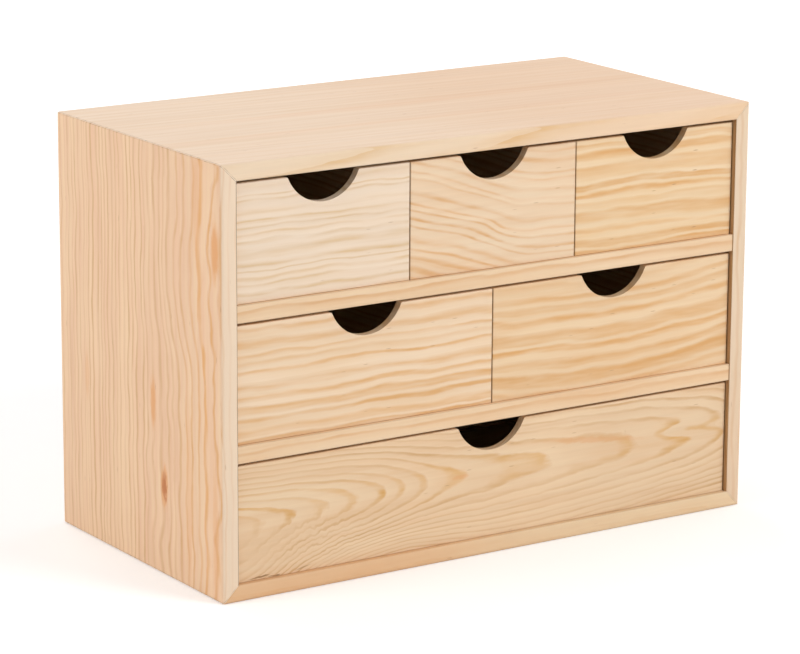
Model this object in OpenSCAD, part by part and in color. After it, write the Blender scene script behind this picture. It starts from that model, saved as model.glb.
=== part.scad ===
// Desktop chest of six small drawers in pine: three over two over one.
// The origin is at the middle of the underside, +Z is up and the drawers open towards -Y.

/* [Case] */
// Width of the case over its sides
case_w = 365; // [300:5:450]
// Depth of the case from its front edges to its back edges
case_d = 188; // [150:2:260]
// Height of the case over its top and bottom
case_h = 250; // [210:5:320]
// Thickness of the mitred boards round the case
board_t = 10; // [9:0.5:15]
// Radius sanded onto the outer edges of the case
edge_r = 2; // [1:0.5:4]

/* [Shelves] */
// Thickness of the two shelves
shelf_t = 10; // [8:0.5:15]
// How far the shelf edges lie behind the front edges of the case
shelf_inset = 0.6; // [0.2:0.2:2]
// Diameter of the dowels that carry the shelves
dowel_d = 5; // [4:0.5:6]
// Length of each dowel
dowel_l = 20; // [14:1:30]
// Depth to which a dowel goes into the side of the case
dowel_in_side = 6; // [4:0.5:7]
// Distance from the front and back of the case to the dowels
dowel_from_edge = 40; // [25:5:60]

/* [Mitre splines] */
// Thickness of the strip glued into each mitre
spline_t = 2; // [1.5:0.5:3]
// Width of the strip, half of it on each side of the mitre
spline_w = 7; // [5:0.5:8]
// Distance from the front and back edges to the ends of the strip
spline_from_edge = 18; // [12:1:40]

/* [Back panel] */
// Thickness of the plywood back panel
panel_t = 3; // [2:0.5:5]
// Width of the rebate that takes the edges of the panel
panel_lap = 5; // [4:0.5:6]
// How far the panel lies inside the back edges of the case
panel_inset = 1; // [0.5:0.5:3]
// Diameter of the nails in the panel
nail_d = 1.2; // [1:0.1:1.6]
// Diameter of the nail heads
nail_head_d = 2.4; // [2:0.2:3]
// Length of the nails
nail_l = 14; // [10:1:18]
// Nails in each row across the panel
nails_across = 4; // [2:1:7]

/* [Drawers] */
// Thickness of the drawer fronts
front_t = 5; // [4:0.5:8]
// Thickness of the drawer sides and backs
wall_t = 5; // [4:0.5:8]
// Thickness of the drawer bottoms
bottom_t = 3; // [2:0.5:4]
// Height from the lower edge of a drawer to its bottom panel
bottom_z = 4; // [3:0.5:10]
// Depth of the grooves that hold the bottom panel
groove_depth = 2.5; // [1.5:0.5:3]
// Thickness of the lip of the front that covers the ends of the sides
front_lip = 2; // [1.5:0.5:3]
// Thickness left on a drawer side where the drawer back is let in
back_lip = 2.5; // [1.5:0.5:3.5]
// Diameter of the pins in the drawer corners
pin_d = 1.2; // [1:0.1:1.4]
// Diameter of the pin heads
pin_head_d = 1.8; // [1.6:0.1:2.4]
// Length of the pins
pin_l = 13; // [10:1:16]
// Distance from the edges of a drawer side to its pins
pin_from_edge = 12; // [8:1:20]

// Radius sanded onto the edges of the drawer fronts
front_edge_r = 0.5; // [0.3:0.1:0.8]

/* [Finger holes] */
// Radius of the round cut in the top edge of each front
finger_r = 25; // [18:1:30]
// Height of the centre of that cut above the top edge of the front
finger_rise = 9; // [5:1:12]
// Radius that rounds the two corners at the mouth of the cut
mouth_r = 1.5; // [0.5:0.5:3]

/* [Fit] */
// Gap between neighbouring drawers, and between a drawer and the side of the case
side_gap = 0.6; // [0.4:0.1:2]
// Gap above each drawer
top_gap = 2; // [1:0.5:4]
// How far the drawer fronts lie behind the front edges of the case
front_recess = 3; // [1:0.5:6]
// Gap between a closed drawer and the back panel
back_gap = 0.5; // [0.3:0.1:3]
// Play of a panel, a strip or a dowel across its groove or hole
joint_play = 0.1; // [0.05:0.05:0.3]

/* [Hidden] */
$fn = 48;
// Extra length that carries a cut past the face it opens
cut = 1;

// Names of the drawers in each row, from the top row down and from left to right
ROW_NAMES = [
    ["top_left", "top_middle", "top_right"],
    ["middle_left", "middle_right"],
    ["bottom"]
];
ROWS = len(ROW_NAMES);
// Each drawer as its name, its row, its place in the row and the number of drawers in the row
DRAWERS = [
    for (row = [0 : ROWS - 1]) for (place = [0 : len(ROW_NAMES[row]) - 1])
        [ROW_NAMES[row][place], row, place, len(ROW_NAMES[row])]
];

CASE_PIECES = [
    "top_board", "bottom_board", "left_side", "right_side", "upper_shelf", "lower_shelf",
    "back_panel", "mitre_splines", "shelf_dowels", "back_panel_nails"
];
DRAWER_PIECES = ["front", "left_side", "right_side", "back", "bottom", "pins"];

// Colours
PALE_PINE = "#EFD9BB";
WARM_PINE = "#E9C9A2";
SHELF_PINE = "#E6C79C";
PLYWOOD = "#E8CFAB";
BEECH = "#D9B48A";
STEEL = "#A9A9A6";

// Inside of the case
inner_w = case_w - 2 * board_t;
front_y = -case_d / 2;
back_y = case_d / 2;
panel_back_y = back_y - panel_inset;
panel_front_y = panel_back_y - panel_t;
bay_h = (case_h - 2 * board_t - (ROWS - 1) * shelf_t) / ROWS;

// Drawers
drawer_h = bay_h - top_gap;
drawer_front_y = front_y + front_recess;
drawer_l = panel_front_y - back_gap - drawer_front_y;

// Heads of nails and pins
head_t = 0.6;
point_l = 1.5;
nail_play = 0.1;

function drawer_node(d, piece) = str(d[0], "_drawer_", piece);
function bay_z(row) = board_t + (ROWS - 1 - row) * (bay_h + shelf_t);
function drawer_w(d) = (inner_w - (d[3] + 1) * side_gap) / d[3];
function drawer_x(d) = -inner_w / 2 + side_gap + d[2] * (drawer_w(d) + side_gap);

// A rounded rectangle about the origin, made of squares and true circles
module rounded_rectangle(w, h, r) {
    square([w - 2 * r, h], center = true);
    square([w, h - 2 * r], center = true);
    for (x = [-1, 1], y = [-1, 1])
        translate([x * (w / 2 - r), y * (h / 2 - r)]) circle(r);
}

// A bar along Y with a given section in X and Z
module bar_along_y(length) {
    translate([0, length / 2, 0]) rotate([90, 0, 0]) linear_extrude(length) children();
}

// A bar along X with a given section in Y and Z
module bar_along_x(length) {
    translate([-length / 2, 0, 0]) rotate([90, 0, 90]) linear_extrude(length) children();
}

// The outside of the case with all its edges rounded
module case_outside() {
    translate([0, 0, case_h / 2]) intersection() {
        bar_along_y(case_d) rounded_rectangle(case_w, case_h, edge_r);
        bar_along_x(case_w) rounded_rectangle(case_d, case_h, edge_r);
        translate([0, 0, -case_h / 2]) linear_extrude(case_h) rounded_rectangle(case_w, case_d, edge_r);
    }
}

// The rebate round the back of the case that takes the back panel
module panel_rebate() {
    w = inner_w + 2 * panel_lap;
    h = case_h - 2 * board_t + 2 * panel_lap;
    translate([-w / 2, panel_front_y, board_t - panel_lap]) cube([w, case_d / 2, h]);
}

// Strips across the four mitres; the slots for them are wider by the play
module mitre_strips(play) {
    l = case_d - 2 * spline_from_edge + 2 * play;
    middle_x = case_w / 2 - board_t / 2;
    middle_z = case_h / 2 - board_t / 2;
    for (x = [-1, 1], z = [-1, 1])
        translate([x * middle_x, 0, case_h / 2 + z * middle_z])
            rotate([0, x * z * 45, 0])
                cube([spline_w + 2 * play, l, spline_t + 2 * play], center = true);
}

// Places of the dowels at both ends of a shelf
module at_dowels(shelf_z) {
    for (side = [-1, 1], y = [front_y + dowel_from_edge, back_y - dowel_from_edge])
        translate([side * (inner_w / 2 + dowel_in_side), y, shelf_z + shelf_t / 2])
            rotate([0, -side * 90, 0]) children();
}

// Height of the underside of the shelf below a row of drawers
function shelf_z(row) = bay_z(row) - shelf_t;

// Holes for the dowels of both shelves
module dowel_holes() {
    for (row = [0, 1])
        at_dowels(shelf_z(row))
            translate([0, 0, -joint_play]) cylinder(d = dowel_d + joint_play, h = dowel_l + 2 * joint_play);
}

// A dowel with both ends chamfered
module dowel() {
    chamfer = dowel_d / 8;
    r = dowel_d / 2;
    rotate_extrude()
        polygon([
            [0, 0], [r - chamfer, 0], [r, chamfer],
            [r, dowel_l - chamfer], [r - chamfer, dowel_l], [0, dowel_l]
        ]);
}

// A nail with its head at the origin and its shank along +Z
module wire_nail(d, head_d, l) {
    cylinder(d = head_d, h = head_t);
    cylinder(d = d, h = l - point_l);
    translate([0, 0, l - point_l]) cylinder(d1 = d, d2 = d / 4, h = point_l);
}

// The hole that such a nail leaves, with its head let in flush
module nail_hole(d, head_d, l) {
    translate([0, 0, -cut]) cylinder(d = head_d + nail_play, h = head_t + cut);
    cylinder(d = d + nail_play, h = l + nail_play);
}

// Heights of the nails across the panel: the case boards and both shelves
nail_rows = [
    board_t - panel_lap / 2,
    shelf_z(1) + shelf_t / 2,
    shelf_z(0) + shelf_t / 2,
    case_h - board_t + panel_lap / 2
];
nail_span = inner_w - 4 * panel_lap;

// Places of the nails in the back panel
module at_panel_nails() {
    for (z = nail_rows, i = [0 : nails_across - 1])
        translate([(i / (nails_across - 1) - 0.5) * nail_span, panel_back_y, z])
            rotate([90, 0, 0]) children();
    for (side = [-1, 1], row = [0 : ROWS - 1])
        translate([side * (inner_w + panel_lap) / 2, panel_back_y, bay_z(row) + bay_h / 2])
            rotate([90, 0, 0]) children();
}

module panel_nail_holes() {
    at_panel_nails() nail_hole(nail_d, nail_head_d, nail_l);
}

// One board of the case, cut from the rounded outside by its mitred section
module case_board(section) {
    difference() {
        intersection() {
            case_outside();
            bar_along_y(case_d) polygon(section);
        }
        panel_rebate();
        mitre_strips(joint_play);
        dowel_holes();
        panel_nail_holes();
    }
}

// Mitred sections: outer corners, then inner corners
outer_x = case_w / 2;
inner_x = inner_w / 2;
inner_z = case_h - board_t;

module top_board() {
    color(PALE_PINE)
        case_board([[-outer_x, case_h], [outer_x, case_h], [inner_x, inner_z], [-inner_x, inner_z]]);
}

module bottom_board() {
    color(WARM_PINE)
        case_board([[-outer_x, 0], [outer_x, 0], [inner_x, board_t], [-inner_x, board_t]]);
}

module left_side() {
    color(WARM_PINE)
        case_board([[-outer_x, 0], [-inner_x, board_t], [-inner_x, inner_z], [-outer_x, case_h]]);
}

module right_side() {
    color(PALE_PINE)
        case_board([[outer_x, 0], [inner_x, board_t], [inner_x, inner_z], [outer_x, case_h]]);
}

// A shelf between the sides, from just behind the front edges to the back panel
module shelf(row) {
    y = front_y + shelf_inset;
    difference() {
        translate([-inner_w / 2, y, shelf_z(row)]) cube([inner_w, panel_front_y - y, shelf_t]);
        dowel_holes();
        panel_nail_holes();
    }
}

module upper_shelf() {
    color(SHELF_PINE) shelf(0);
}

module lower_shelf() {
    color(SHELF_PINE) shelf(1);
}

module back_panel() {
    w = inner_w + 2 * (panel_lap - joint_play);
    h = case_h - 2 * (board_t - panel_lap + joint_play);
    color(PLYWOOD)
        difference() {
            translate([-w / 2, panel_front_y, (case_h - h) / 2]) cube([w, panel_t, h]);
            panel_nail_holes();
        }
}

module mitre_splines() {
    color(BEECH) mitre_strips(0);
}

module shelf_dowels() {
    color(BEECH)
        for (row = [0, 1])
            at_dowels(shelf_z(row)) dowel();
}

module back_panel_nails() {
    color(STEEL) at_panel_nails() wire_nail(nail_d, nail_head_d, nail_l);
}

// Puts a piece that is drawn from the lower front left corner of its drawer in the case
module in_place(d) {
    translate([drawer_x(d), drawer_front_y, bay_z(d[1])]) children();
}

// The groove round the inside of a drawer, wider than the bottom panel by the play
module bottom_groove(w) {
    edge = wall_t - groove_depth;
    front_edge = front_t - groove_depth;
    translate([edge, front_edge, bottom_z])
        cube([w - 2 * edge, drawer_l - edge - front_edge, bottom_t + joint_play]);
}

// Places of the pins, each driven from the outside of a drawer side
module at_pins(w) {
    tongue_y = (front_lip + front_t) / 2;
    for (y = [tongue_y, drawer_l - wall_t / 2], z = [pin_from_edge, drawer_h - pin_from_edge]) {
        translate([0, y, z]) rotate([0, 90, 0]) children();
        translate([w, y, z]) rotate([0, -90, 0]) children();
    }
}

module pin_holes(w) {
    at_pins(w) nail_hole(pin_d, pin_head_d, pin_l);
}

// Outline of the finger cut with the middle of the top edge of the front at the origin:
// an arc about a centre above the edge, whose mouth runs out into the edge in two small fillets
module finger_outline() {
    fillet_x = sqrt(pow(finger_r + mouth_r, 2) - pow(finger_rise + mouth_r, 2));
    // Where the arc meets a fillet, on the line between their centres
    share = finger_r / (finger_r + mouth_r);
    meet = [fillet_x * share, finger_rise - (finger_rise + mouth_r) * share];
    difference() {
        union() {
            translate([0, finger_rise]) circle(finger_r);
            polygon([
                [-fillet_x, cut], [-fillet_x, -mouth_r], [-meet[0], meet[1]],
                meet, [fillet_x, -mouth_r], [fillet_x, cut]
            ]);
        }
        for (x = [-fillet_x, fillet_x])
            translate([x, -mouth_r]) circle(mouth_r);
    }
}

// The cut that a finger goes into, through the top edge of the front
module finger_cut(w) {
    translate([w / 2, front_t + cut, drawer_h])
        rotate([90, 0, 0]) linear_extrude(front_t + 2 * cut) finger_outline();
}

// A block the size of a front with its edges sanded
module front_block(w) {
    intersection() {
        translate([w / 2, front_t / 2, 0])
            linear_extrude(drawer_h) rounded_rectangle(w, front_t, front_edge_r);
        translate([w / 2, front_t / 2, drawer_h / 2])
            bar_along_x(w) rounded_rectangle(front_t, drawer_h, front_edge_r);
    }
}

// A front, rebated behind both ends so that its lip covers the ends of the sides
module drawer_front(d) {
    w = drawer_w(d);
    color(PALE_PINE) in_place(d)
        difference() {
            front_block(w);
            for (x = [-cut, w - wall_t])
                translate([x, front_lip, -cut]) cube([wall_t + cut, front_t, drawer_h + 2 * cut]);
            finger_cut(w);
            bottom_groove(w);
            pin_holes(w);
        }
}

// A left side, rebated at the back to let in the end of the drawer back
module side_wall(w) {
    difference() {
        translate([0, front_lip, 0]) cube([wall_t, drawer_l - front_lip, drawer_h]);
        translate([back_lip, drawer_l - wall_t, -cut]) cube([wall_t, wall_t + cut, drawer_h + 2 * cut]);
        bottom_groove(w);
        pin_holes(w);
    }
}

module drawer_left_side(d) {
    color(WARM_PINE) in_place(d) side_wall(drawer_w(d));
}

module drawer_right_side(d) {
    w = drawer_w(d);
    color(WARM_PINE) in_place(d) translate([w, 0, 0]) mirror([1, 0, 0]) side_wall(w);
}

module drawer_back(d) {
    w = drawer_w(d);
    color(WARM_PINE) in_place(d)
        difference() {
            translate([back_lip, drawer_l - wall_t, 0]) cube([w - 2 * back_lip, wall_t, drawer_h]);
            bottom_groove(w);
            pin_holes(w);
        }
}

// A plywood bottom that lies on the lower face of the groove
module drawer_bottom(d) {
    edge = wall_t - groove_depth + joint_play;
    front_edge = front_t - groove_depth + joint_play;
    color(PLYWOOD) in_place(d)
        translate([edge, front_edge, bottom_z])
            cube([drawer_w(d) - 2 * edge, drawer_l - edge - front_edge, bottom_t]);
}

module drawer_pins(d) {
    color(STEEL) in_place(d) at_pins(drawer_w(d)) wire_nail(pin_d, pin_head_d, pin_l);
}

top_board();
bottom_board();
left_side();
right_side();
upper_shelf();
lower_shelf();
back_panel();
mitre_splines();
shelf_dowels();
back_panel_nails();
for (d = DRAWERS) {
    drawer_front(d);
    drawer_left_side(d);
    drawer_right_side(d);
    drawer_back(d);
    drawer_bottom(d);
    drawer_pins(d);
}
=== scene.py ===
"""Desktop mini drawers in raw pine: materials, light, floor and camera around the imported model.

Lengths are in metres in the frame of the model, and in millimetres inside the wood patterns.
"""

import math
from dataclasses import dataclass, replace
from typing import NamedTuple

import bpy
from mathutils import Euler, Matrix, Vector


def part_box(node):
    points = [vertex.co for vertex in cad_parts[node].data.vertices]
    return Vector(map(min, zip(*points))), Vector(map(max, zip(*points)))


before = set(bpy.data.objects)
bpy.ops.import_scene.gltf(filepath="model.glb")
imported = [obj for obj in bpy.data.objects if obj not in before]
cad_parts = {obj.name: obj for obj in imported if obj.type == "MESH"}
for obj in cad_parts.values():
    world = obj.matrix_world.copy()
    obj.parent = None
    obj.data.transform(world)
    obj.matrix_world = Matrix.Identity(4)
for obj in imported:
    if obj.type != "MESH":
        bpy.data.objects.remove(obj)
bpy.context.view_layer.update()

MM = 0.001


# ---------------------------------------------------------------- shader arithmetic

class Field:
    """A number that varies over a surface. Arithmetic on it adds Math nodes to its tree."""

    def __init__(self, tree, socket):
        self.tree = tree
        self.socket = socket

    def math(self, operation, *others):
        node = self.tree.nodes.new("ShaderNodeMath")
        node.operation = operation
        for slot, value in zip(node.inputs, (self, *others)):
            connect(self.tree, value, slot)
        return Field(self.tree, node.outputs[0])

    def __add__(self, other):
        return self.math("ADD", other)

    def __sub__(self, other):
        return self.math("SUBTRACT", other)

    def __mul__(self, other):
        return self.math("MULTIPLY", other)

    def __truediv__(self, other):
        return self.math("DIVIDE", other)

    def __rsub__(self, other):
        return (self * -1) + other

    def __neg__(self):
        return self * -1

    __radd__ = __add__
    __rmul__ = __mul__


def connect(tree, value, slot):
    """Links a field, or sets a plain value, on an input."""
    if isinstance(value, Field):
        tree.links.new(value.socket, slot)
    else:
        slot.default_value = value


def root(x):
    return x.math("SQRT")


def floor_of(x):
    return x.math("FLOOR")


def fraction(x):
    return x.math("FRACT")


def larger(a, b):
    return a.math("MAXIMUM", b)


def smaller(a, b):
    return a.math("MINIMUM", b)


def ramp(x, low, high, start=0.0, end=1.0):
    """Goes smoothly from start to end as x goes from low to high."""
    node = x.tree.nodes.new("ShaderNodeMapRange")
    node.interpolation_type = "SMOOTHSTEP"
    for slot, value in zip(node.inputs, (x, low, high, start, end)):
        connect(x.tree, value, slot)
    return Field(x.tree, node.outputs[0])


def hill(*offsets):
    """1 where all the offsets are 0, falling smoothly to 0 where they pass about 2."""
    square = offsets[0] * offsets[0]
    for offset in offsets[1:]:
        square = square + offset * offset
    return (-square).math("EXPONENT")


def vector(x, y, z):
    node = x.tree.nodes.new("ShaderNodeCombineXYZ")
    for slot, value in zip(node.inputs, (x, y, z)):
        connect(x.tree, value, slot)
    return Field(x.tree, node.outputs[0])


def parts(v):
    node = v.tree.nodes.new("ShaderNodeSeparateXYZ")
    v.tree.links.new(v.socket, node.inputs[0])
    return [Field(v.tree, out) for out in node.outputs]


def noise(place, detail=2.0, roughness=0.5):
    """Smooth noise between -1 and 1 at a place."""
    node = place.tree.nodes.new("ShaderNodeTexNoise")
    node.inputs["Scale"].default_value = 1.0
    node.inputs["Detail"].default_value = detail
    node.inputs["Roughness"].default_value = roughness
    place.tree.links.new(place.socket, node.inputs["Vector"])
    return Field(place.tree, node.outputs["Fac"]) * 2.0 - 1.0


def noise_along(x, offset):
    """Smooth noise between -1 and 1 on one number."""
    node = x.tree.nodes.new("ShaderNodeTexNoise")
    node.noise_dimensions = "1D"
    node.inputs["Scale"].default_value = 1.0
    node.inputs["Detail"].default_value = 1.0
    connect(x.tree, x + offset, node.inputs["W"])
    return Field(x.tree, node.outputs["Fac"]) * 2.0 - 1.0


def chance(x):
    """A random number from 0 to 1 for each whole number x."""
    node = x.tree.nodes.new("ShaderNodeTexWhiteNoise")
    node.noise_dimensions = "1D"
    connect(x.tree, x, node.inputs["W"])
    return Field(x.tree, node.outputs["Value"])


def curve(x, points, low, high):
    """A smooth curve through (x, y) points; y lies between low and high."""
    first, last = points[0][0], points[-1][0]
    node = x.tree.nodes.new("ShaderNodeFloatCurve")
    line = node.mapping.curves[0]
    for _ in points[2:]:
        line.points.new(0.5, 0.5)
    for knob, (along, value) in zip(line.points, points):
        knob.location = ((along - first) / (last - first), (value - low) / (high - low))
    node.mapping.update()
    connect(x.tree, (x - first) / (last - first), node.inputs["Value"])
    return Field(x.tree, node.outputs[0]) * (high - low) + low


# The sockets of a Mix node that carry colours
MIX_A, MIX_B, MIX_RESULT = 6, 7, 2


def mix(a, b, share, blend="MIX"):
    """Colour a with a share of colour b."""
    node = share.tree.nodes.new("ShaderNodeMix")
    node.data_type = "RGBA"
    node.blend_type = blend
    node.clamp_factor = True
    connect(share.tree, share, node.inputs["Factor"])
    for slot, value in zip((node.inputs[MIX_A], node.inputs[MIX_B]), (a, b)):
        connect(share.tree, value, slot)
    return Field(share.tree, node.outputs[MIX_RESULT])


def srgb(code):
    """The linear colour of a hex code, by the sRGB curve."""
    channels = [int(code[i:i + 2], 16) / 255 for i in (1, 3, 5)]
    return [c / 12.92 if c <= 0.04045 else ((c + 0.055) / 1.055) ** 2.4 for c in channels] + [1.0]


def scaled(colour, value):
    """A colour made lighter or darker by a number round 1."""
    node = colour.tree.nodes.new("ShaderNodeVectorMath")
    node.operation = "SCALE"
    connect(colour.tree, colour, node.inputs[0])
    connect(colour.tree, value, node.inputs["Scale"])
    return Field(colour.tree, node.outputs[0])


def scatter(place):
    """Distance to the nearest of many scattered points, and a random number for that point."""
    node = place.tree.nodes.new("ShaderNodeTexVoronoi")
    node.inputs["Scale"].default_value = 1.0
    place.tree.links.new(place.socket, node.inputs["Vector"])
    return Field(place.tree, node.outputs["Distance"]), parts(Field(place.tree, node.outputs["Color"]))[0]


def bump(tree, height, distance):
    """A normal for a relief whose height 1 stands out by the distance, in metres."""
    node = tree.nodes.new("ShaderNodeBump")
    node.inputs["Strength"].default_value = 1.0
    node.inputs["Distance"].default_value = distance
    connect(tree, height, node.inputs["Height"])
    return Field(tree, node.outputs[0])


def new_material(name):
    """A new material, its tree and its shader."""
    material = bpy.data.materials.new(name)
    material.use_nodes = True
    return material, material.node_tree, material.node_tree.nodes["Principled BSDF"]


# ---------------------------------------------------------------- boards

class Mark(NamedTuple):
    """A soft oval on a board: its middle, how far it reaches along and across, how much it does,
    and how far it slopes across per millimetre along."""

    along: float
    across: float
    length: float
    width: float
    amount: float
    slope: float = 0.0


def marks(rows):
    """The marks that these rows of numbers stand for."""
    return [Mark(*row) for row in rows]


@dataclass
class Board:
    """How one board was sawn from its log. Places are (along the grain, across it) in millimetres
    from the middle of the board; `through` is its thickness direction."""

    along: str = "X"
    across: str = "Z"
    through: str = "Y"
    # The heart of the log, across and through; how far it wanders across per millimetre along;
    # and how much deeper it lies at places along the board
    heart: tuple = (-260.0, 30.0)
    lean: float = 0.0
    dive: tuple = ()
    # Years: millimetres between rings, where they start, how uneven they are, how much of a
    # year is dark latewood, how softly that ends, and how much of it is a broad band
    ring: float = 4.0
    first: float = 0.0
    uneven: float = 0.8
    late: float = 0.55
    soft: float = 0.15
    band: float = 0.3
    # How far the grain wavers and over what length and width, and a finer ripple
    waver: float = 1.2
    waver_length: float = 60.0
    waver_width: float = 22.0
    ripple: float = 0.4
    # Rise and fall of the grain: (along, mm); marks where it swells, in millimetres; places where
    # it steps aside between two points (along from, to, across, width, mm); and marks where it is
    # curly, in millimetres
    flow: tuple = ()
    swells: tuple = ()
    steps: tuple = ()
    curls: tuple = ()
    # Strength of the rings, how much it comes and goes, and marks where they are fainter, or
    # bolder with an amount below 0
    strength: float = 1.0
    fading: float = 0.7
    quiet: tuple = ()
    # Colours of spring, summer and autumn wood, and of autumn wood where it glows
    pale: str = "#EDD2B2"
    warm: str = "#EAC8A6"
    deep: str = "#D9AC7B"
    glow: str = "#E0A86F"
    # Marks where the autumn wood glows orange, streaks and bands of resin, pin knots, and splits
    # and patches of painted shade
    glows: tuple = ()
    streaks: tuple = ()
    knots: tuple = ()
    splits_and_shade: tuple = ()
    flecks: float = 0.5
    # Colour of the edge that faces the front, how much it covers, and how strong the rings are there
    edge: str = "#EBD1B3"
    edge_share: float = 0.0
    edge_rings: float = 0.5
    # How dark the arrises are, rubbed and with painted shade along the gaps between parts. Boards of the
    # case have an inner side, 1 or -1 through: how much of that darkening the outer side has, and how much
    # painted shade the inner side gets
    rub_and_shade: float = 0.0
    inner: int = 0
    outer_rub_and_shade: float = 0.0
    shaded: float = 1.0
    # The finger cut, if there is one: its centre across the grain, and its radius
    cut: tuple = ()
    # Half the thickness of the middle ply of plywood, or 0 for solid wood
    core: float = 0.0
    seed: int = 1


# ---------------------------------------------------------------- patterns of the wood

# Length along the grain and width across it of each pattern, in millimetres
RIPPLES = (14, 5)
CURLS = (5, 7)
COME_AND_GO = (34, 4.5)
PATCHES = (110, 20)
BANDS = (70, 4.2)
FIBRES = (34, 0.55)
STRANDS = (55, 2.1)
RAGGED = (5, 1.5)
FLECKS = (15, 1.7)
DENTS = (34, 30)

# Steps from one board's patterns to the next one's, and between the years of uneven rings
GRAIN_STEP = 17.3
PATTERN_STEP = 5.7
UNEVEN_STEP = 0.37

# Shares of a year: how much sooner or later the band of latewood begins, where it begins when
# there is least of it, how long it takes to come in, and where the dark line begins and peaks
BAND_SPREAD = 0.3
BAND_BEGIN = 0.85
BAND_RISE = 0.25
LINE_BEGIN = 0.5
LINE_PEAK = 0.97
# How bold the faintest band and the faintest line are; the boldest are 1 more
BAND_LEAST = 0.2
LINE_LEAST = 0.25

# How much a surface faces each of these ways where it begins to count and where it counts in full.
# End grain and the flat faces of plywood go by its square
FRONT_FACING = (0.35, 0.9)
INNER_FACING = (0.4, 0.8)
END_FACING = (0.3, 0.9)
FLAT_FACING = (0.2, 0.6)
# Where each of these is full and ends, in millimetres: the rub and painted shade from an arris, the line of
# glue from its middle, and the touch of fingers from the cut; and how softly the middle ply ends
ARRIS_RUB_AND_SHADE = (0.1, 0.6)
GLUE_LINE = (0.05, 0.3)
TOUCHED = (1.0, 15.0)
PLY_EDGE = 0.08

# How much each of these lightens or darkens the wood
FIBRE_SHADE = 0.035
STRAND_SHADE = 0.03
YEAR_SHADE = 0.03
END_GRAIN_SHADE = 0.22
HANDLED_SHADE = 0.02
PLY_SHADE = 0.3

WOOD_ROUGHNESS = 0.66
WOOD_SPECULAR = 0.3
WOOD_RELIEF = 0.06 * MM
# Half the thickness of the boards of the case, in millimetres
HALF_BOARD = 5.0


def stretched(place, size, along_shift=0.0, across_shift=0.0):
    """A place for a pattern whose parts have this length and width."""
    along, across, through = place
    length, width = size
    return vector(along / length + along_shift, across / width + across_shift, through / width)


def spot(along, across, mark):
    """1 in the middle of a mark, fading to 0 round it."""
    from_middle = along - mark.along
    if mark.slope:
        across = across - from_middle * mark.slope
    return hill(from_middle / mark.length, (across - mark.across) / mark.width)


def distance_to_heart(place, board, shift):
    """Millimetres from the heart of the log, with the wavering, rises, swellings and curls of the grain."""
    along, across, through = place
    wide = noise(stretched(place, (board.waver_length, board.waver_width), shift), 1.0)
    fine = noise(stretched(place, RIPPLES, shift, shift), 2.0)
    sideways = across - board.heart[0] - along * board.lean
    inward = through - board.heart[1]
    if board.dive:
        deepest = max(depth for _, depth in board.dive) + 1.0
        inward = inward - curve(along, board.dive, 0.0, deepest)
    radius = root(sideways * sideways + inward * inward) + wide * (2 * board.waver) + fine * board.ripple
    if board.flow:
        reach = max(abs(rise) for _, rise in board.flow) + 1.0
        radius = radius - curve(along, board.flow, -reach, reach)
    for mark in marks(board.swells):
        radius = radius + spot(along, across, mark) * mark.amount
    for start, end, middle, width, rise in board.steps:
        radius = radius + ramp(along, start, end) * hill((across - middle) / width) * rise
    for mark in marks(board.curls):
        curl = noise(stretched(place, CURLS, shift), 1.0)
        radius = radius + curl * (spot(along, across, mark) * (2 * mark.amount))
    return radius


def grain(place, board):
    """(year, fraction of the year) at a place in the log that the board was sawn from."""
    shift = board.seed * GRAIN_STEP
    years = distance_to_heart(place, board, shift) * (1 / board.ring) + board.first
    years = years + noise_along(years * UNEVEN_STEP, shift) * board.uneven
    return floor_of(years), fraction(years)


def draw(year, board, step, offset=0.0):
    """A random number for each year of a board. Each step and offset gives numbers of its own."""
    return chance(year + offset + board.seed * step)


def latewood(year, phase, board):
    """How much latewood there is: a band that comes in each year, darkest in a line near its end.
    The band begins sooner or later, and both are bolder in some years than in others."""
    begin = draw(year, board, 3) * BAND_SPREAD + (BAND_BEGIN - board.late)
    end = ramp(phase, 1.0 - board.soft, 1.0, 1.0, 0.0)
    band = ramp(phase, begin, begin + BAND_RISE) * (draw(year, board, 5, 0.5) + BAND_LEAST)
    line = ramp(phase, LINE_BEGIN, LINE_PEAK - board.soft) * (draw(year, board, 9, 0.25) + LINE_LEAST)
    return (band * board.band + line * (1 - board.band)) * end


class Wood:
    """A piece and its board: where a point lies in the wood, in millimetres from the middle of the
    piece and in from its bounds, how the surface faces, and the patterns that its layers share."""

    def __init__(self, tree, node_name, board):
        self.board = board
        low, high = (Vector(corner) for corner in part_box(node_name))
        middle, half = (low + high) / 2, (high - low) / (2 * MM)
        coordinates = tree.nodes.new("ShaderNodeTexCoord")
        point = parts(Field(tree, coordinates.outputs["Object"]))
        normal = parts(Field(tree, coordinates.outputs["Normal"]))
        order = ["XYZ".index(name) for name in (board.along, board.across, board.through)]

        self.place = [(point[i] - middle[i]) * (1 / MM) for i in order]
        self.along, self.across, self.through = self.place
        self.facing = [normal[i] for i in order]
        self.forward = -normal[1]
        insets = [(-part.math("ABSOLUTE")) + half[i] for i, part in zip(order, self.place)]
        self.from_end, self.from_edge, self.from_face = insets

        self.year, self.phase = grain(self.place, board)
        self.shift = board.seed * PATTERN_STEP
        self.come_and_go = noise(stretched(self.place, COME_AND_GO, self.shift), 2.0)
        self.patches = noise(stretched(self.place, PATCHES, 0.0, self.shift), 2.0)
        self.bands = noise(stretched(self.place, BANDS, self.shift), 1.0)
        self.fibre = noise(stretched(self.place, FIBRES, 0.0, self.shift), 3.0, 0.65)
        self.strand = noise(stretched(self.place, STRANDS, self.shift), 2.0)


# ---------------------------------------------------------------- layers of the wood

def front_edge(wood):
    """How much this is the edge that faces the front, where it has a colour of its own."""
    return ramp(wood.forward, *FRONT_FACING) * wood.board.edge_share


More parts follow.
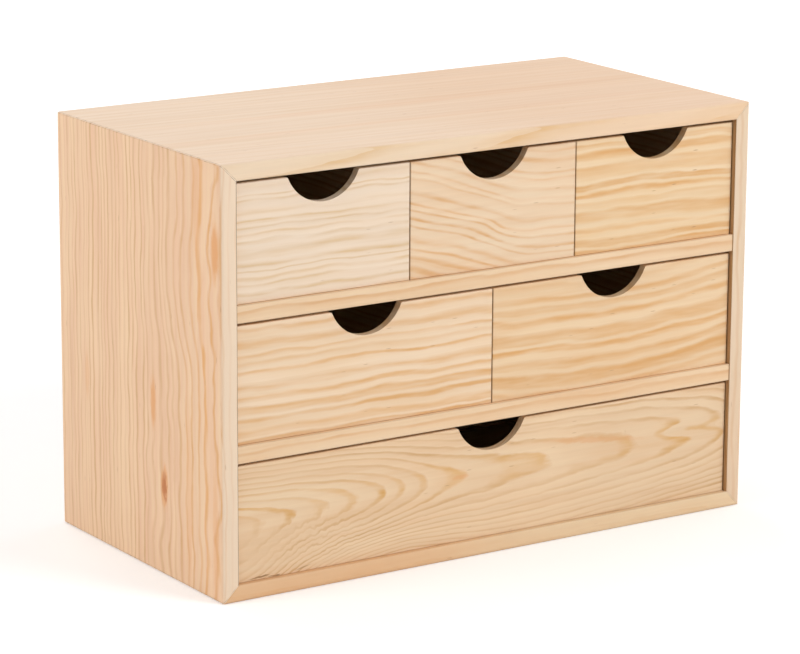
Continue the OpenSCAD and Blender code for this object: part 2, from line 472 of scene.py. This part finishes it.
def autumn_wood(wood):
    """How much autumn wood shows: rings that come and go, and a little of it in the warmest bands."""
    board = wood.board
    strength = (wood.come_and_go * (2 * board.fading) + 1.0) * board.strength
    for mark in marks(board.quiet):
        strength = strength * (1.0 - spot(wood.along, wood.across, mark) * mark.amount)
    rings = latewood(wood.year, wood.phase, board) * strength
    rings = rings + ramp(wood.bands + wood.patches * 0.6, 0.15, 0.9) * (0.15 * board.strength)
    if board.edge_share:
        rings = rings * (front_edge(wood) * (board.edge_rings - 1) + 1.0)
    return rings


def ring_colour(wood, rings):
    """Spring wood that warms through the year, in patches and in bands, and the autumn wood on it."""
    board = wood.board
    pale, warm, deep = srgb(board.pale), srgb(board.warm), srgb(board.deep)
    if board.edge_share:
        edge = front_edge(wood)
        pale, warm = mix(pale, srgb(board.edge), edge), mix(warm, srgb(board.edge), edge)
    for mark in marks(board.glows):
        deep = mix(deep, srgb(board.glow), spot(wood.along, wood.across, mark) * mark.amount)
    warmth = ramp(wood.phase, 0.0, 0.6) * 0.4 + wood.patches * 0.9 + wood.bands * 0.9 + 0.3
    return mix(mix(pale, warm, warmth), deep, rings)


def inner_face(wood):
    """1 on the inside of a board of the case."""
    return ramp(wood.facing[2] * wood.board.inner, *INNER_FACING)


def mitre_glue(wood):
    """A hairline of glue that shows here and there in the mitres."""
    off_mitre = (wood.from_end - wood.through * wood.board.inner - HALF_BOARD).math("ABSOLUTE")
    patchy = ramp(wood.strand + wood.come_and_go, -0.3, 0.8, 0.1, 0.6)
    return ramp(off_mitre, *GLUE_LINE, 1.0, 0.0) * patchy


def rubbed_and_shaded_arrises(wood):
    """How dark the arrises are, unevenly: rubbed, and with painted shade along the gaps between parts; on
    the case less on its outside.
    """
    board = wood.board
    end, edge, face = wood.from_end, wood.from_edge, wood.from_face
    # Near an arris two of the three are small, so the middle one of them tells how near
    from_arris = larger(smaller(end, edge), smaller(larger(end, edge), face))
    arris_darkening = ramp(from_arris + wood.fibre * 0.2 + wood.strand * 0.25, *ARRIS_RUB_AND_SHADE, board.rub_and_shade, 0.0)
    if board.inner:
        arris_darkening = arris_darkening * ramp(wood.through * board.inner, -2.0, 2.0, board.outer_rub_and_shade, 1.0)
    return arris_darkening


def finger_wear(wood):
    """How much the wood round the finger cut has been touched."""
    centre, radius = wood.board.cut
    up = wood.across - centre
    from_cut = root(wood.along * wood.along + up * up) - radius
    return ramp(from_cut + wood.come_and_go * 4, *TOUCHED, 1.0, 0.0)


def middle_ply(wood):
    """1 on the middle ply where it shows at an edge of plywood."""
    flat, core = wood.facing[2], wood.board.core
    depth = ramp(wood.through.math("ABSOLUTE"), core - PLY_EDGE, core + PLY_EDGE, 1.0, 0.0)
    return depth * ramp(flat * flat, *FLAT_FACING, 1.0, 0.0)


def shade(wood, inside, handled):
    """How much lighter or darker than its colour the wood is, round 1."""
    board = wood.board
    tone = draw(wood.year, board, 7) - 0.5
    value = wood.fibre * FIBRE_SHADE + wood.strand * STRAND_SHADE + tone * YEAR_SHADE + 1.0
    # The end of the grain drinks light
    end_grain = ramp(wood.facing[0] * wood.facing[0], *END_FACING)
    value = value * (1.0 - end_grain * END_GRAIN_SHADE)
    # Rubbed arrises, and painted shade along the gaps between parts
    if board.rub_and_shade:
        value = value * (1.0 - rubbed_and_shaded_arrises(wood))
    if board.inner:
        value = value * (1.0 - mitre_glue(wood) * ramp(inside, 0.0, 0.5, 1.0, 0.0))
    if board.cut:
        value = value * (1.0 - handled * HANDLED_SHADE)
    if board.core:
        value = value * (1.0 - middle_ply(wood) * PLY_SHADE)
    return value


def resin_flecks(wood):
    """Short dark resin canals, a few to the hand's breadth, each 2 to 5 mm long."""
    distance, lot = scatter(stretched(wood.place, FLECKS, wood.board.seed))
    return ramp(distance, 0.06, 0.17, 1.0, 0.0) * ramp(lot, 0.93, 0.95)


def dents(wood):
    """A few small dents to a board."""
    distance, lot = scatter(stretched(wood.place, DENTS, wood.shift))
    return ramp(distance, 0.02, 0.05, 1.0, 0.0) * ramp(lot, 0.86, 0.9)


def marked(wood, colour, fleck):
    """The colour with resin streaks, flecks, pin knots, splits and patches of painted shade, with ragged
    outlines.
    """
    board, along, across = wood.board, wood.along, wood.across
    if board.streaks or board.knots or board.splits_and_shade:
        ragged = noise(stretched(wood.place, RAGGED, 0.0, wood.shift), 2.0)
    for mark in marks(board.streaks):
        patch = spot(along + ragged * 4, across + ragged * 1.2 + wood.fibre * 0.8, mark)
        colour = mix(colour, srgb(RESIN), ramp(patch, 0.1, 0.8) * mark.amount)
    colour = mix(colour, srgb(FLECK), fleck * board.flecks)
    for mark in marks(board.knots):
        core = spot(along + ragged * 5, across + ragged * 1.6 + wood.strand, mark)
        halo = ramp(core, 0.05, 0.4) * (0.85 * mark.amount)
        checks = ramp(core + (ragged * 0.7 + wood.fibre * 0.6), 0.3, 0.9) * ramp(core, 0.1, 0.4)
        colour = mix(mix(colour, srgb(RESIN), halo), srgb(KNOT), checks * mark.amount)
    # Splits, and patches of painted shade
    for mark in marks(board.splits_and_shade):
        split_and_shade = spot(along + ragged * 4, across + ragged * 1.0, mark)
        colour = mix(colour, srgb(SPLIT_AND_SHADE), ramp(split_and_shade, 0.2, 0.8) * mark.amount)
    return colour


def pine(node_name, board):
    """A pine material for one piece, sawn as the board says."""
    material, tree, shader = new_material("pine_" + node_name)
    wood = Wood(tree, node_name, board)
    rings = autumn_wood(wood)
    fleck = resin_flecks(wood)
    inside = inner_face(wood) if board.inner else None
    handled = finger_wear(wood) if board.cut else None

    colour = ring_colour(wood, rings)
    if board.inner:
        # Painted shade on the inside faces of the case
        colour = mix(colour, srgb(INSIDE_SHADE), inside * board.shaded, "MULTIPLY")
    colour = marked(wood, scaled(colour, shade(wood, inside, handled)), fleck)
    connect(tree, colour, shader.inputs["Base Color"])

    roughness = rings * -0.08 + wood.fibre * 0.05 + WOOD_ROUGHNESS
    if board.cut:
        roughness = roughness - handled * 0.1
    connect(tree, roughness, shader.inputs["Roughness"])
    shader.inputs["Specular IOR Level"].default_value = WOOD_SPECULAR
    relief = rings * 0.5 + wood.fibre * 0.35 - fleck * 0.8 - dents(wood) * 3.0
    connect(tree, bump(tree, relief, WOOD_RELIEF), shader.inputs["Normal"])
    return material


# ---------------------------------------------------------------- the boards of the chest

# Colours of resin streaks, of the painted shade on the inside of the case, of flecks and knots,
# and of splits, which also colour a patch of painted shade
RESIN = "#E0A470"
INSIDE_SHADE = "#CDC0A4"
FLECK = "#A87C58"
KNOT = "#B87041"
SPLIT_AND_SHADE = "#98744C"

# The case. Sides have their grain upright; the top, bottom and shelves have it along X.
SIDE = Board(
    along="Z", across="Y", through="X", heart=(-110, 110), ring=3.5, uneven=0.6,
    waver=1.2, waver_length=36, waver_width=40, ripple=0.6, late=0.5, soft=0.25, strength=0.85,
    pale="#ECCAA6", warm="#E6BE9D", deep="#D4AB80", edge="#EED7BD", edge_share=0.9, edge_rings=0.2,
    # Rubbed arrises; the dark inner arris is also a painted line of shade beside the drawer fronts
    rub_and_shade=0.6, inner=1,
)
FLAT = Board(
    across="Y", through="Z", heart=(-220, 60), ring=8.0, strength=0.25, waver=1.4, waver_length=90,
    late=0.8, soft=0.45, pale="#F0D7BF", warm="#EDD2B8", deep="#E0BB8C", edge="#E9D1B2", edge_share=0.7,
    rub_and_shade=0.2, inner=-1,
)
SHELF = Board(
    across="Z", through="Y", heart=(-60, 30), ring=3.6, strength=0.8, waver=0.8,
    pale="#EBCEAB", warm="#E7C49D", deep="#DBAC7D", rub_and_shade=0.18,
)
FRONT = Board(
    ring=4.4, strength=0.85, waver=1.5, waver_length=38, ripple=0.7, late=0.75, soft=0.3, band=0.5,
    rub_and_shade=0.14, cut=(42.0, 25.0),
)
DRAWER_WALL = Board(
    along="Y", across="Z", through="X", heart=(-150, 20), ring=4.2, strength=0.75, rub_and_shade=0.1,
    pale="#ECD2B0", warm="#EAC9A6", deep="#D8AE80",
)

BOARDS = {
    "top_board": replace(
        FLAT, seed=2, lean=-0.055, strength=0.22, outer_rub_and_shade=0.6, edge_rings=4.5,
        streaks=((170, 0, 190, 300, 0.2), (40, 11, 170, 8, 0.14), (-20, -34, 260, 6, 0.1)),
    ),
    "bottom_board": replace(
        FLAT, seed=3, inner=1, rub_and_shade=0.15, shaded=0.15, strength=0.5, pale="#EACEAA", warm="#E8C7A0",
        deep="#DBB082", edge="#EAD0AC", edge_share=0.8, edge_rings=1.3, streaks=((-150, 0, 170, 300, 0.42),),
    ),
    "left_side": replace(
        SIDE, seed=4, band=0.55, strength=0.87,
        swells=((58, -46, 20, 24, -2.2), (-80, -60, 60, 30, 1.2), (70, 60, 30, 30, 1.5)),
        steps=((48, -14, -42, 28, 4.6),), quiet=((0, -74, 400, 20, -0.5),),
        glows=((0, -76, 400, 26, 0.9),),
        knots=((-72, -29, 10, 3.4, 0.85),),
        streaks=((-25, -17, 15, 3.0, 0.85), (75, -87, 17, 3.8, 0.95), (-26, 61, 15, 2.6, 0.3),
                 (-70, -57, 60, 4, 0.3), (-88, -86, 45, 3, 0.4), (100, -67, 35, 4, 0.3)),
    ),
    "right_side": replace(
        SIDE, seed=5, heart=(-60, -34), rub_and_shade=0.2, inner=-1, edge="#E2CBB0", edge_rings=0.45,
        streaks=((-125, 0, 110, 300, 0.12),),
    ),
    "upper_shelf": replace(SHELF, seed=6),
    "lower_shelf": replace(SHELF, seed=7, strength=1.2),
    "top_left_drawer_front": replace(
        FRONT, seed=8, ring=4.6, uneven=0.8, strength=0.6, fading=1.1, soft=0.3,
        pale="#EED9C2", warm="#EBD4BB", deep="#DDBC90",
    ),
    "top_middle_drawer_front": replace(
        FRONT, seed=9, ring=5.4, late=0.7, strength=0.68,
        pale="#EAD0B1", warm="#E7C8A6", deep="#DBAA75",
        flow=((-57, 0), (-38, -5), (-19, -11), (-5, -16), (17, -23), (35, -25), (57, -26)),
        quiet=((23, 0, 14, 22, 0.85), (48, -6, 15, 34, 0.5)),
    ),
    "top_right_drawer_front": replace(
        FRONT, seed=10, ring=7.4, uneven=1.1, strength=0.72, soft=0.25, band=0.8, flecks=0.9,
        swells=((44, -16, 20, 7, 3.0), (-10, 8, 26, 9, -2.0)),
        pale="#EACFAB", warm="#E6C59A", deep="#D9A56A",
    ),
    "middle_left_drawer_front": replace(
        FRONT, seed=11, ring=6.4, strength=0.85, soft=0.25, band=0.75, quiet=((-60, -22, 50, 20, 0.4),),
        pale="#EED4B6", warm="#EACBA7", deep="#DDAC75",
    ),
    "middle_right_drawer_front": replace(
        FRONT, seed=12, ring=7.8, strength=0.72, soft=0.25, band=0.75,
        pale="#E9CCA7", warm="#E5C39B", deep="#DAA76D",
        flow=((-86, 1), (-45, -1), (0, -2), (45, 1), (86, 6)),
    ),
    "bottom_drawer_front": replace(
        FRONT, seed=13, heart=(4.5, -2), lean=0.022, ring=2.6, first=-0.12, uneven=0.12,
        dive=((-172, 12.8), (-143, 15), (-90, 20.2), (-44, 28), (-22, 30.6), (32, 33.2), (105, 35.8),
              (149, 38.4), (172, 41)),
        waver=0.35, waver_length=24, ripple=0.45, late=0.5, soft=0.15, strength=0.64,
        swells=((-72, -42, 50, 24, 13), (-176, -38, 42, 26, -17), (142, 9, 30, 4, 2.4),
                (150, -42, 50, 18, 4)),
        quiet=((-158, -19, 24, 17, 0.75), (-139, -31, 14, 5, -1.6), (142, 6, 36, 20, -0.5),
               (-130, 22, 60, 14, 0.4), (36, 5, 26, 8, 0.4), (10, -14, 50, 16, 0.3),
               (100, -18, 50, 16, 0.5)),
        glows=((0, 7, 700, 10, 1.0),),
        streaks=((74, 13, 34, 2.0, 0.45, -0.12), (-22, 4.5, 5, 1.5, 0.5)),
        # The last of these is no split but painted shade, a broad darkening of the right part of the front
        splits_and_shade=((-157, -32.5, 7, 0.5, 0.9, 0.06), (-147, -33.2, 5, 0.5, 0.8, -0.04),
                (-128, -31.5, 6, 0.5, 0.5, 0.2), (130, 0, 80, 70, 0.07)),
        curls=((-122, -16, 34, 15, 1.1),),
        pale="#EACEAB", warm="#E5C49F", deep="#D2AA7C", glow="#D8A45A",
    ),
}


def board_of(node_name):
    """The board a wooden piece is sawn from: one of the named ones, or a drawer wall by its place."""
    if node_name in BOARDS:
        return BOARDS[node_name]
    seed = 20 + sorted(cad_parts).index(node_name)
    if node_name.endswith("_back"):
        return replace(DRAWER_WALL, along="X", through="Y", seed=seed)
    return replace(DRAWER_WALL, seed=seed)


# ---------------------------------------------------------------- plywood, beech and steel

STEEL = "#A8A7A2"
SCUFFED_STEEL = "#6F6D69"
# Sizes of the scuffs along X, Y and Z, in millimetres
SCUFF = (0.5, 0.9, 0.5)
STEEL_ROUGHNESS = 0.38
STEEL_RELIEF = 0.03 * MM


def plywood(node_name, through):
    """Rotary-cut veneer: broad soft figure, pale, with the plies showing on its edges."""
    across = "Y" if through == "Z" else "Z"
    veneer = Board(
        across=across, through=through, heart=(10, -60), lean=0.02, ring=2.6, waver=9.0,
        waver_length=130, waver_width=60, strength=0.35, pale="#EBD8BC", warm="#E9D3B2",
        deep="#D2B086", flecks=0.35, core=0.55, seed=70 + len(node_name),
    )
    return pine(node_name, veneer)


def beech(node_name):
    """Beech of a dowel or a strip: even, with short fine fibres."""
    even = Board(ring=1.6, strength=0.4, waver=0.3, pale="#DDB98F", warm="#DDB98F", deep="#C79B6C")
    return pine(node_name, even)


def steel(node_name):
    """Bright drawn wire, with the scuffs of the hammer."""
    material, tree, shader = new_material("steel_" + node_name)
    shader.inputs["Metallic"].default_value = 1.0
    place = parts(Field(tree, tree.nodes.new("ShaderNodeTexCoord").outputs["Object"]))
    x, y, z = (part * (1 / MM) / length for part, length in zip(place, SCUFF))
    scuff = noise(vector(x, y, z), 3.0)
    colour = mix(srgb(STEEL), srgb(SCUFFED_STEEL), ramp(scuff, 0.0, 0.9))
    connect(tree, colour, shader.inputs["Base Color"])
    connect(tree, scuff * 0.12 + STEEL_ROUGHNESS, shader.inputs["Roughness"])
    connect(tree, bump(tree, scuff, STEEL_RELIEF), shader.inputs["Normal"])
    return material


def material_of(node_name):
    if node_name.endswith(("_nails", "_pins")):
        return steel(node_name)
    if node_name == "back_panel":
        return plywood(node_name, "Y")
    if node_name.endswith("_drawer_bottom"):
        return plywood(node_name, "Z")
    if node_name in ("mitre_splines", "shelf_dowels"):
        return beech(node_name)
    return pine(node_name, board_of(node_name))


def dress():
    """Puts a material on every piece of the model."""
    for node_name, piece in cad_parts.items():
        material = material_of(node_name)
        piece.data.materials.clear()
        piece.data.materials.append(material)


# ---------------------------------------------------------------- light, floor and camera

# Each lamp: azimuth, elevation, share of full light that it gives a surface facing it, size
LAMPS = {
    "key": (28, 30, 0.48, 1.2),
    "left": (-98, 22, 0.37, 1.6),
    "right": (110, 22, 0.15, 1.8),
    "back": (180, 35, 0.24, 1.8),
}
LAMP_DISTANCE = 2.6
LAMP_AIM = Vector((0, 0, 0.12))
SKY = 0.46

FLOOR_RADIUS = 14.0
FLOOR_CORNERS = 64
FLOOR_GREY = 0.88
# The floor gives off a little light of its own, to the camera and to mirrors. From the first of
# these distances to the second, that light grows until the floor is as white as the sky
FLOOR_FADE = (0.9, 3.6)
FLOOR_GLOW = 0.26

PHOTO_W = 800
SENSOR_W = 36.0
FOCAL_PX = 3633
CAMERA_AZIMUTH = -33.35
CAMERA_ELEVATION = 13.93
CAMERA_ROLL = 0.305
CAMERA_DISTANCE = 2.167
CAMERA_AIM = Vector((-0.0039, 0.0, 0.1166))
CAMERA_REACH = 50


def direction(azimuth, elevation):
    """Unit vector away from the object; azimuth 0 is in front of it and 90 on its right."""
    a, e = math.radians(azimuth), math.radians(elevation)
    return Vector((math.sin(a) * math.cos(e), -math.cos(a) * math.cos(e), math.sin(e)))


def add_lamps():
    """Soft boxes round the object. A share of 1 would light a facing surface to its own colour."""
    for name, (azimuth, elevation, share, size) in LAMPS.items():
        lamp = bpy.data.lights.new(name, "AREA")
        lamp.shape = "DISK"
        lamp.size = size
        lamp.energy = share * (math.pi * LAMP_DISTANCE) ** 2
        holder = bpy.data.objects.new(name, lamp)
        holder.location = LAMP_AIM + direction(azimuth, elevation) * LAMP_DISTANCE
        holder.rotation_euler = direction(azimuth, elevation).to_track_quat("Z", "Y").to_euler()
        bpy.context.collection.objects.link(holder)


def seen_rays(tree):
    """1 for rays from the camera, or by way of a mirror or glass."""
    rays = tree.nodes.new("ShaderNodeLightPath")
    kinds = ("Is Camera Ray", "Is Glossy Ray", "Is Transmission Ray")
    direct, mirrored, through_glass = (Field(tree, rays.outputs[kind]) for kind in kinds)
    return larger(larger(direct, mirrored), through_glass)


def add_sky():
    """Even light from all round that shows as plain white."""
    world = bpy.data.worlds.new("sky")
    bpy.context.scene.world = world
    world.use_nodes = True
    tree = world.node_tree
    light = tree.nodes["Background"]
    light.inputs["Color"].default_value = (1, 1, 1, 1)
    connect(tree, ramp(seen_rays(tree), 0.0, 1.0, SKY, 1.0), light.inputs["Strength"])


def floor_paint():
    """Pale paint whose glow, for the camera and mirrors, fades it into the white."""
    material, tree, _ = new_material("floor")
    tree.nodes.clear()
    paint = tree.nodes.new("ShaderNodeBsdfDiffuse")
    paint.inputs["Color"].default_value = (FLOOR_GREY, FLOOR_GREY, FLOOR_GREY, 1)
    glow = tree.nodes.new("ShaderNodeEmission")
    x, y, _ = parts(Field(tree, tree.nodes.new("ShaderNodeTexCoord").outputs["Object"]))
    near, far = FLOOR_FADE
    fade = ramp(root(x * x + y * y), near, far, FLOOR_GLOW, 1.0)
    connect(tree, seen_rays(tree) * fade, glow.inputs["Strength"])
    total = tree.nodes.new("ShaderNodeAddShader")
    output = tree.nodes.new("ShaderNodeOutputMaterial")
    for shader, slot in zip((paint, glow), total.inputs):
        tree.links.new(shader.outputs[0], slot)
    tree.links.new(total.outputs[0], output.inputs["Surface"])
    return material


def add_floor():
    """A pale round floor that keeps the shadow of the object."""
    turns = [i * math.tau / FLOOR_CORNERS for i in range(FLOOR_CORNERS)]
    rim = [(math.cos(turn) * FLOOR_RADIUS, math.sin(turn) * FLOOR_RADIUS, 0.0) for turn in turns]
    mesh = bpy.data.meshes.new("floor")
    mesh.from_pydata(rim, [], [range(FLOOR_CORNERS)])
    mesh.materials.append(floor_paint())
    floor = bpy.data.objects.new("floor", mesh)
    bpy.context.collection.objects.link(floor)


def add_camera():
    camera = bpy.data.cameras.new("camera")
    camera.sensor_width = SENSOR_W
    camera.lens = FOCAL_PX * SENSOR_W / PHOTO_W
    camera.clip_end = CAMERA_REACH
    holder = bpy.data.objects.new("camera", camera)
    back = direction(CAMERA_AZIMUTH, CAMERA_ELEVATION)
    holder.location = CAMERA_AIM + back * CAMERA_DISTANCE
    turn = back.to_track_quat("Z", "Y").to_matrix() @ Euler((0, 0, math.radians(CAMERA_ROLL))).to_matrix()
    holder.rotation_euler = turn.to_euler()
    bpy.context.collection.objects.link(holder)
    bpy.context.scene.camera = holder


add_camera()
dress()
add_lamps()
add_sky()
add_floor()
bpy.context.scene.view_settings.view_transform = "Standard"
